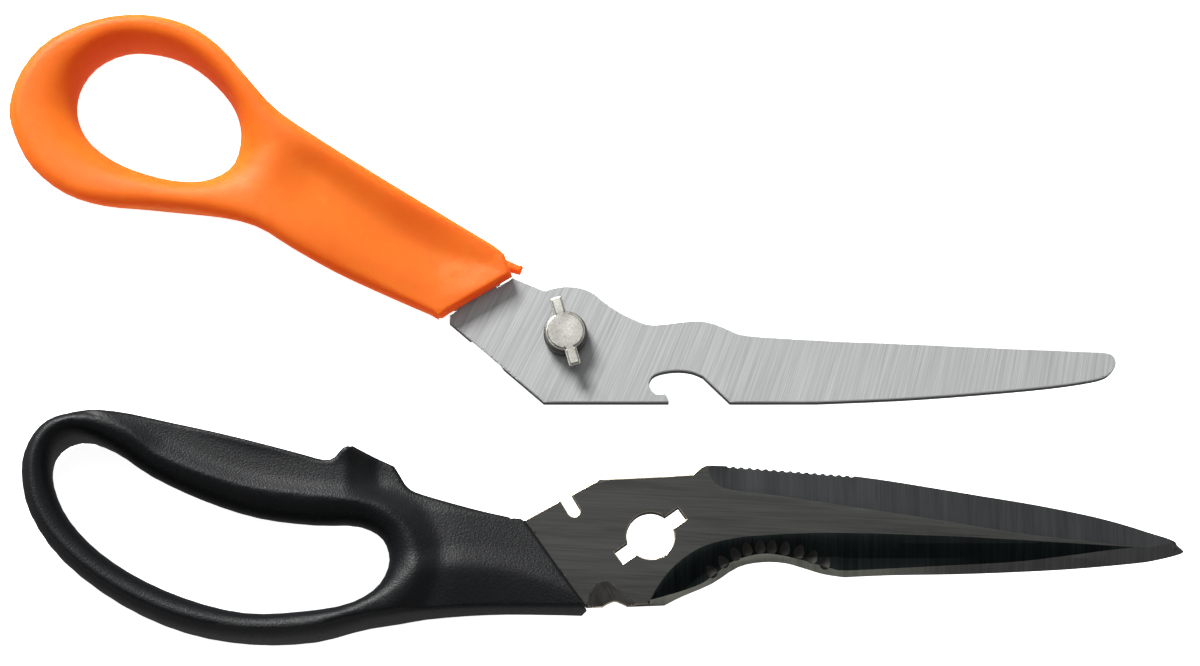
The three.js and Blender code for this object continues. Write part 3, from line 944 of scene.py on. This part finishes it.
def scallop_ring(centre, along, across, count=18):
    """The outline of one scallop, an ellipse that narrows away from the edge."""
    turn = np.linspace(0, 2 * math.pi, count + 1)[:, None]
    narrow = 1 - SCALLOP_NARROWS * np.sin(turn)
    ring = (
        centre
        + along * SCALLOP_HALF[0] * np.cos(turn) * narrow
        + across * SCALLOP_HALF[1] * np.sin(turn)
    )
    ring[-1] = ring[0]
    return ring


def scallop_cut(points, centre, along, across):
    """How deep one scallop is at each point, from 0 at its outline to 1 at its middle."""
    rel = points - centre
    rise = rel @ across / SCALLOP_HALF[1]
    narrow = 1 - SCALLOP_NARROWS * np.clip(rise, -1, 1)
    r2 = (rel @ along / (SCALLOP_HALF[0] * narrow)) ** 2 + rise**2
    return np.maximum(1 - r2, 0)


def broken(rim_gap, size):
    """How far a small broken edge drops the face, for a slope of 1."""
    return np.maximum(size - rim_gap, 0)


def share_of(gap, rim_gap):
    """How far a point is on its way from a line to the outline."""
    return gap / np.maximum(gap + rim_gap, 1e-6)


def finger_blade():
    loops = section("finger_blade", finger_pivot, 0.2)
    loops = [refined(loop, 0.5, 14) for loop in loops[:2]]
    # the tip is a little blunter and higher than the working edge's own line
    loops[0][:, 1] += TIP_LIFT * ease(loops[0][:, 0], 96, 104.6)
    back = curve_through(BACK_BEVEL, GRIND_STEP)
    hollow = curve_through(HOLLOW, GRIND_STEP)
    edge = curve_through(EDGE_BEVEL, GRIND_STEP)
    recess = curve_through(ARCH_RECESS, GRIND_STEP)
    start = np.array(BEVEL_START)
    frames = scallop_frames()
    rings = [scallop_ring(*frame) for frame in frames]
    creases = [back, hollow, edge, recess, start, *rings]
    points, triangles, loops = plan(loops, (0.18, 0.5), 1.6, creases, FINE_BOXES)
    x = points[:, 0]
    rim_gap = rim_distance(points, loops)
    back_gap, hollow_gap, edge_gap, recess_gap = (
        distance(points, line, closed=False) for line in (back, hollow, edge, recess)
    )
    ridge = np.vstack([edge, back[back[:, 0] > 95.8]])
    ridge_gap = distance(points, ridge, closed=False)
    back_area = np.vstack([back, BEYOND_BACK])
    hollow_area = np.vstack([hollow, edge[::-1]])
    edge_area = np.vstack([ridge, BEYOND_EDGE])

    def areas(at):
        return [inside(at, [area]) for area in (back_area, hollow_area, edge_area, recess)]

    in_back, in_hollow, in_edge, in_recess = areas(points)
    # the hollow pinches out at the tip, where the back bevel and the edge bevel meet
    pinch = 1 - ease(x, 86, 95.2)
    deep = np.minimum(HOLLOW_DEPTH, HOLLOW_STEEPNESS * hollow_gap) * pinch
    t = share_of(hollow_gap, edge_gap)
    hollow_z = PLATE - deep * (1 - (1 - t) ** 1.7)
    thin = mix(SHARP_EDGE, START_EDGE, 1 - ease(x, -0.5, 6))
    thin = mix(thin, TIP_EDGE, ease(x, 90, 104))
    edge_z = mix(np.maximum(PLATE - deep, thin), thin, share_of(ridge_gap, rim_gap))
    back_z = PLATE - BACK_SLOPE * back_gap * ease(back_gap, -0.5, 0.8)
    falls = share_of(recess_gap, rim_gap) * ease(recess_gap, -0.4, 1.2)
    recess_z = PLATE - (PLATE - NOTCH_EDGE) * falls
    top = np.full(len(points), PLATE)
    top = np.where(in_hollow, hollow_z, top)
    top = np.where(in_edge, edge_z, top)
    top = np.where(in_back, back_z, top)
    top = np.where(in_recess, recess_z, top)
    for frame in frames:
        top -= SCALLOP_DEPTH * scallop_cut(points, *frame) * ease(top, 0.5, 1.2)
    ground = in_hollow | in_edge
    top -= np.where(ground, 0, BROKEN_SLOPE * broken(rim_gap, BROKEN_EDGE))
    top = np.maximum(top, SHARP_EDGE)
    middle = points[triangles].mean(1)
    in_back, in_hollow, in_edge, in_recess = areas(middle)
    on_rim = rim_distance(middle, loops) < BROKEN_EDGE
    index = np.full(len(triangles), FACE)
    index[in_back] = BACK
    index[in_hollow] = HOLLOW_GRIND
    index[in_edge] = EDGE
    index[in_recess] = NOTCH
    index[np.any([inside(middle, [ring]) for ring in rings], axis=0)] = SCALLOP
    worn = (middle[:, 0] > WORN[0]) & (middle[:, 0] < WORN[1])
    index[on_rim & worn & ~in_edge & ~in_hollow] = WORN_RIM
    under = np.full(len(triangles), FACE)
    piece = solid_from(
        "finger_blade_ground", finger_pivot, points, triangles, top, np.zeros(len(points)),
        slots=(index, under), edge_slot=SIDE, sharp=9,
    )
    for material in (
        coated, coated_back, coated_hollow_painted_shade, coated_micro, coated_recess, coated_scallop,
        pale_gold, coated_side_painted_shade,
    ):
        piece.data.materials.append(material)
    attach(piece, "finger_half")
    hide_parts("finger_blade")


# ---- thumb blade

# where the bevel behind the cutting edge begins, and points beyond the outline that close it
REAR_GRIND = [(34.8, -0.9), (37, -3.9), (60, -6.4), (85, -8.1), (104, -8.4), (109.5, -8.2)]
BEYOND_GRIND = [(120, -4), (120, 20), (34.8, 20)]
REAR_EDGE = 0.3
REAR_SLOPE = 0.6
SHOULDER_BOX = (-22, -9, -9, 2, 0.45)
RELIEF = 2
THUMB_BROKEN_EDGE = 0.2
THUMB_BROKEN_SLOPE = 0.6
# the thumb blade's material slots, in order
SHEET, RIM, GRIND, THUMB_SIDE = range(4)


def thumb_blade():
    loops = section("thumb_blade", thumb_pivot, -0.2)
    loops = [refined(loop, 0.8, 16) for loop in loops[:2]]
    grind = curve_through(REAR_GRIND, GRIND_STEP)
    points, triangles, loops = plan(loops, (0.2, 0.5), 1.7, [grind], [SHOULDER_BOX])
    x, y = points.T
    rim_gap = rim_distance(points, loops)
    grind_gap = distance(points, grind, closed=False)
    grind_area = np.vstack([grind, BEYOND_GRIND])
    in_grind = inside(points, [grind_area])
    drop = THUMB_BROKEN_SLOPE * broken(rim_gap, THUMB_BROKEN_EDGE)
    top = -drop
    falls = np.minimum(share_of(grind_gap, rim_gap), REAR_SLOPE * grind_gap)
    bottom = np.where(in_grind, mix(-PLATE, -REAR_EDGE, falls), -PLATE + drop)
    # the shoulder is ground away from below between two short lands
    relief = ease(x, -19, -18.7) * (1 - ease(x, -12.8, -12.5)) * (y < 1)
    bottom += RELIEF * relief * (1 - ease(rim_gap, 0, 1.6))
    bottom = np.minimum(bottom, top - 0.1)
    middle = points[triangles].mean(1)
    # the rim takes the brighter steel of the painted highlight
    index = np.where(rim_distance(middle, loops) < 0.16, RIM, SHEET)
    under = np.where(inside(middle, [grind_area]), GRIND, SHEET)
    piece = solid_from(
        "thumb_blade_ground", thumb_pivot, points, triangles, top, bottom,
        slots=(index, under), edge_slot=THUMB_SIDE, sharp=12,
    )
    for material in (bare_steel, steel_edge_painted_highlight, bare_grind, steel_side_painted_shade):
        piece.data.materials.append(material)
    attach(piece, "thumb_half")
    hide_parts("thumb_blade")


# ---- pivot

STUD_RADIUS = 3.9
WING_HALF = 1.2
WING_REACH = 7.2
WING_TURN = 106
STUD_STEP = 0.15
STUD_CORNER = 30
STUD_RINGS = (0.05, 0.12, 0.2, 0.36, 0.45, 0.55)
# the head's underside, its lower rim and the groove between that and the raised face
HEAD_UNDER = 2.75
STUD_RIM = 0.3
RIM_DROP = 0.24
GROOVE_DEPTH = 0.1
GROOVE_HALF = 0.06
PIVOT_SHARP = 40


def stud_outline(radius, half, reach):
    """A round head with two square-ended wings, anticlockwise."""
    meet = math.asin(half / radius)
    out = []
    for side in (0, math.pi):
        wing = [(reach, -half), (reach, half)]
        cos, sin = math.cos(side), math.sin(side)
        out += [(x * cos - y * sin, x * sin + y * cos) for x, y in wing]
        turn = np.linspace(side + meet, side + math.pi - meet, 30)
        out += [(radius * math.cos(a), radius * math.sin(a)) for a in turn]
    turn = math.radians(WING_TURN)
    spin = np.array([[math.cos(turn), math.sin(turn)], [-math.sin(turn), math.cos(turn)]])
    return np.array(out) @ spin


def stud():
    high = span("pivot_stud", thumb_pivot)[1]
    sizes = np.array([STUD_RADIUS, WING_HALF, WING_REACH])
    outer = refined(stud_outline(*sizes), STUD_STEP, STUD_CORNER)
    step = refined(stud_outline(*(sizes - STUD_RIM)), STUD_STEP, STUD_CORNER)
    step = np.vstack([step, step[:1]])
    points, triangles, loops = plan([outer], STUD_RINGS, 0.25, creases=[step])
    gap = distance(points, loops[0])
    step_gap = distance(points, step, closed=False)
    raised = inside(points, [step[:-1]]) | (step_gap < 1e-3)
    # a rounded lower rim, then a small groove, then the raised face with a rounded edge
    top = high - RIM_DROP + 0.08 * (rim(gap, 0.08, 2) - 1)
    top = np.where(raised, high - 0.2 * (1 - rim(step_gap, 0.2, 2.2)), top)
    top -= GROOVE_DEPTH * np.exp(-((step_gap / GROOVE_HALF) ** 2)) * ~raised
    bottom = HEAD_UNDER + 0.08 * (1 - rim(gap, 0.14, 2))
    head = solid_from(
        "stud_head", thumb_pivot, points, triangles, top, bottom, sharp=PIVOT_SHARP
    )
    head.data.materials.append(nickel)
    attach(head, "thumb_half")
    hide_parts("pivot_stud")


def lathe(name, pivot, profile, count=96):
    """A closed ring or disc turned about the pivot from (radius, z) points."""
    verts = []
    faces = []
    for radius, z in profile:
        for turn in np.linspace(0, 2 * math.pi, count, endpoint=False):
            verts.append((radius * math.cos(turn), radius * math.sin(turn), z))
    for row in range(len(profile)):
        after = (row + 1) % len(profile)
        for i in range(count):
            j = (i + 1) % count
            faces.append((row * count + i, row * count + j, after * count + j, after * count + i))
    return smooth_piece(name, np.array(verts) + pivot, faces, PIVOT_SHARP)


def rounded_ring(inner, outer, low, high, edge):
    """A ring's section, anticlockwise, with its outer edges rounded by edge."""
    turns = np.linspace(0, math.pi / 2, 5)
    lower = [(outer - edge + edge * math.sin(a), low + edge - edge * math.cos(a)) for a in turns]
    upper = [(outer - edge + edge * math.cos(a), high - edge + edge * math.sin(a)) for a in turns]
    return [(inner, low), *lower, *upper, (inner, high)]


# inner and outer radius, and the rounding of the outer edges
SHANK = (1.6, 2.9, 0.15)
COLLAR = (3, 4.35, 0.3)


def pivot():
    stud()
    low = span("pivot_stud", thumb_pivot)[0]
    inner, outer, edge = SHANK
    shank = lathe("stud_shank", thumb_pivot, rounded_ring(inner, outer, low, HEAD_UNDER, edge))
    shank.data.materials.append(nickel)
    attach(shank, "thumb_half")
    low, high = span("pivot_collar", thumb_pivot)
    inner, outer, edge = COLLAR
    collar = lathe("stud_collar", thumb_pivot, rounded_ring(inner, outer, low, high, edge))
    collar.data.materials.append(shaded_nickel)
    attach(collar, "thumb_half")
    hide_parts("pivot_collar")
    for node in ("rivet_washer", "rivet_core"):
        for slot in frame["nodes"][node].material_slots:
            slot.material = nickel


finger_blade()
thumb_blade()
pivot()

# ---- stage, light, camera

# the camera's elevation in degrees, and in millimetres its distance, the width it sees there
# and the point it looks at
ELEVATION = 76.5
DISTANCE = 830
FIELD_WIDTH = 240
TARGET = Vector((2.15, -0.65, 8))
SENSOR_WIDTH = 36
NEAREST = 0.01
# the floor, in metres, and its own slight glow
FLOOR_SIZE = 4
FLOOR_Z = -0.0002
FLOOR_LIFT = 0.9


def stage():
    bpy.ops.mesh.primitive_plane_add(size=FLOOR_SIZE, location=(0, 0, FLOOR_Z))
    floor = bpy.context.object
    floor.name = "floor"
    n = Nodes("floor paper")
    tone = n.noise(n.place, 30, 2, 0.5)
    paper = n.ramp(tone, [(0, (0.8, 0.8, 0.8)), (1, (0.82, 0.82, 0.82))])
    n.set(Base_Color=paper, Roughness=0.9, Emission_Color=(1, 1, 1), Emission_Strength=FLOOR_LIFT)
    floor.data.materials.append(n.material)
    floor.visible_glossy = False


# how bright the room is, and its walls, which fade out between two sines of elevation
ROOM = 0.2
HORIZON = 1.0
WALLS_FADE = (0.1, 0.3)
# the glowing panel: its brightness, the way to its middle, the sines of the angles it spans
# on either side, and the part of them that is fully bright
GLOW = 1.4
GLOW_TOWARD = Vector((-0.12, 0.36, 0.92)).normalized()
GLOW_ACROSS = GLOW_TOWARD.cross(Vector((-1, 0, 0))).normalized()
GLOW_HALF = (0.7, 0.52)
GLOW_CORE = 0.4


def studio_light():
    """A dim room with pale walls, and a long glowing panel above and behind the object."""
    world = bpy.data.worlds.new("studio")
    world.use_nodes = True
    sky = Tree(world.node_tree)
    background = sky.tree.nodes["Background"]
    place = sky.add("ShaderNodeTexCoord")

    def part_along(axis):
        node = sky.add("ShaderNodeVectorMath", operation="DOT_PRODUCT")
        sky.link(place.outputs["Generated"], node.inputs[0])
        node.inputs[1].default_value = axis
        return node.outputs["Value"]

    def ramp(source, start, end, low, high):
        node = sky.add("ShaderNodeMapRange", interpolation_type="SMOOTHSTEP")
        sky.link(source, node.inputs[0])
        for socket, value in zip(node.inputs[1:5], (start, end, low, high)):
            socket.default_value = value
        return node.outputs[0]

    sideways = GLOW_TOWARD.cross(GLOW_ACROSS)
    pair = sky.add("ShaderNodeCombineXYZ")
    sky.link(part_along(sideways / GLOW_HALF[0]), pair.inputs[0])
    sky.link(part_along(GLOW_ACROSS / GLOW_HALF[1]), pair.inputs[1])
    off_centre = sky.add("ShaderNodeVectorMath", operation="LENGTH")
    sky.link(pair.outputs[0], off_centre.inputs[0])
    panel = ramp(off_centre.outputs["Value"], GLOW_CORE, 1, GLOW - ROOM, 0)
    above = ramp(part_along(GLOW_TOWARD), 0, 0.2, 0, 1)
    level = sky.add("ShaderNodeMath", operation="ABSOLUTE")
    sky.link(part_along(Vector((0, 0, 1))), level.inputs[0])
    walls = ramp(level.outputs[0], *WALLS_FADE, HORIZON, ROOM)
    lit = sky.add("ShaderNodeMath", operation="MULTIPLY_ADD")
    for value, socket in zip((panel, above, walls), lit.inputs):
        sky.link(value, socket)
    sky.link(lit.outputs[0], background.inputs[1])
    background.inputs[0].default_value = (1, 1, 1, 1)
    bpy.context.scene.world = world


def softbox(name, place, size, power, shines):
    """A lamp that faces the object. shines says whether gloss and metal reflect it."""
    light = bpy.data.lights.new(name, "AREA")
    light.shape = "RECTANGLE"
    light.size = size[0]
    light.size_y = size[1]
    light.energy = power
    lamp = placed(name, light)
    lamp.location = place
    lamp.rotation_euler = (-Vector(place)).to_track_quat("-Z", "Y").to_euler()
    lamp.visible_glossy = shines


def camera():
    elevation = math.radians(ELEVATION)
    toward = Vector((0, -math.cos(elevation), math.sin(elevation)))
    data = bpy.data.cameras.new("camera")
    data.sensor_width = SENSOR_WIDTH
    data.lens = SENSOR_WIDTH * DISTANCE / FIELD_WIDTH
    data.clip_start = NEAREST
    view = placed("camera", data)
    view.location = (TARGET + toward * DISTANCE) * MM
    view.rotation_euler = (-toward).to_track_quat("-Z", "Y").to_euler()
    bpy.context.scene.camera = view


stage()
studio_light()
softbox("key", place=(-0.45, 0.85, 0.65), size=(0.45, 0.35), power=33, shines=True)
softbox("overhead", place=(0, 0.1, 1.2), size=(1.6, 1.2), power=3, shines=False)
camera()
bpy.context.scene.view_settings.view_transform = "Standard"
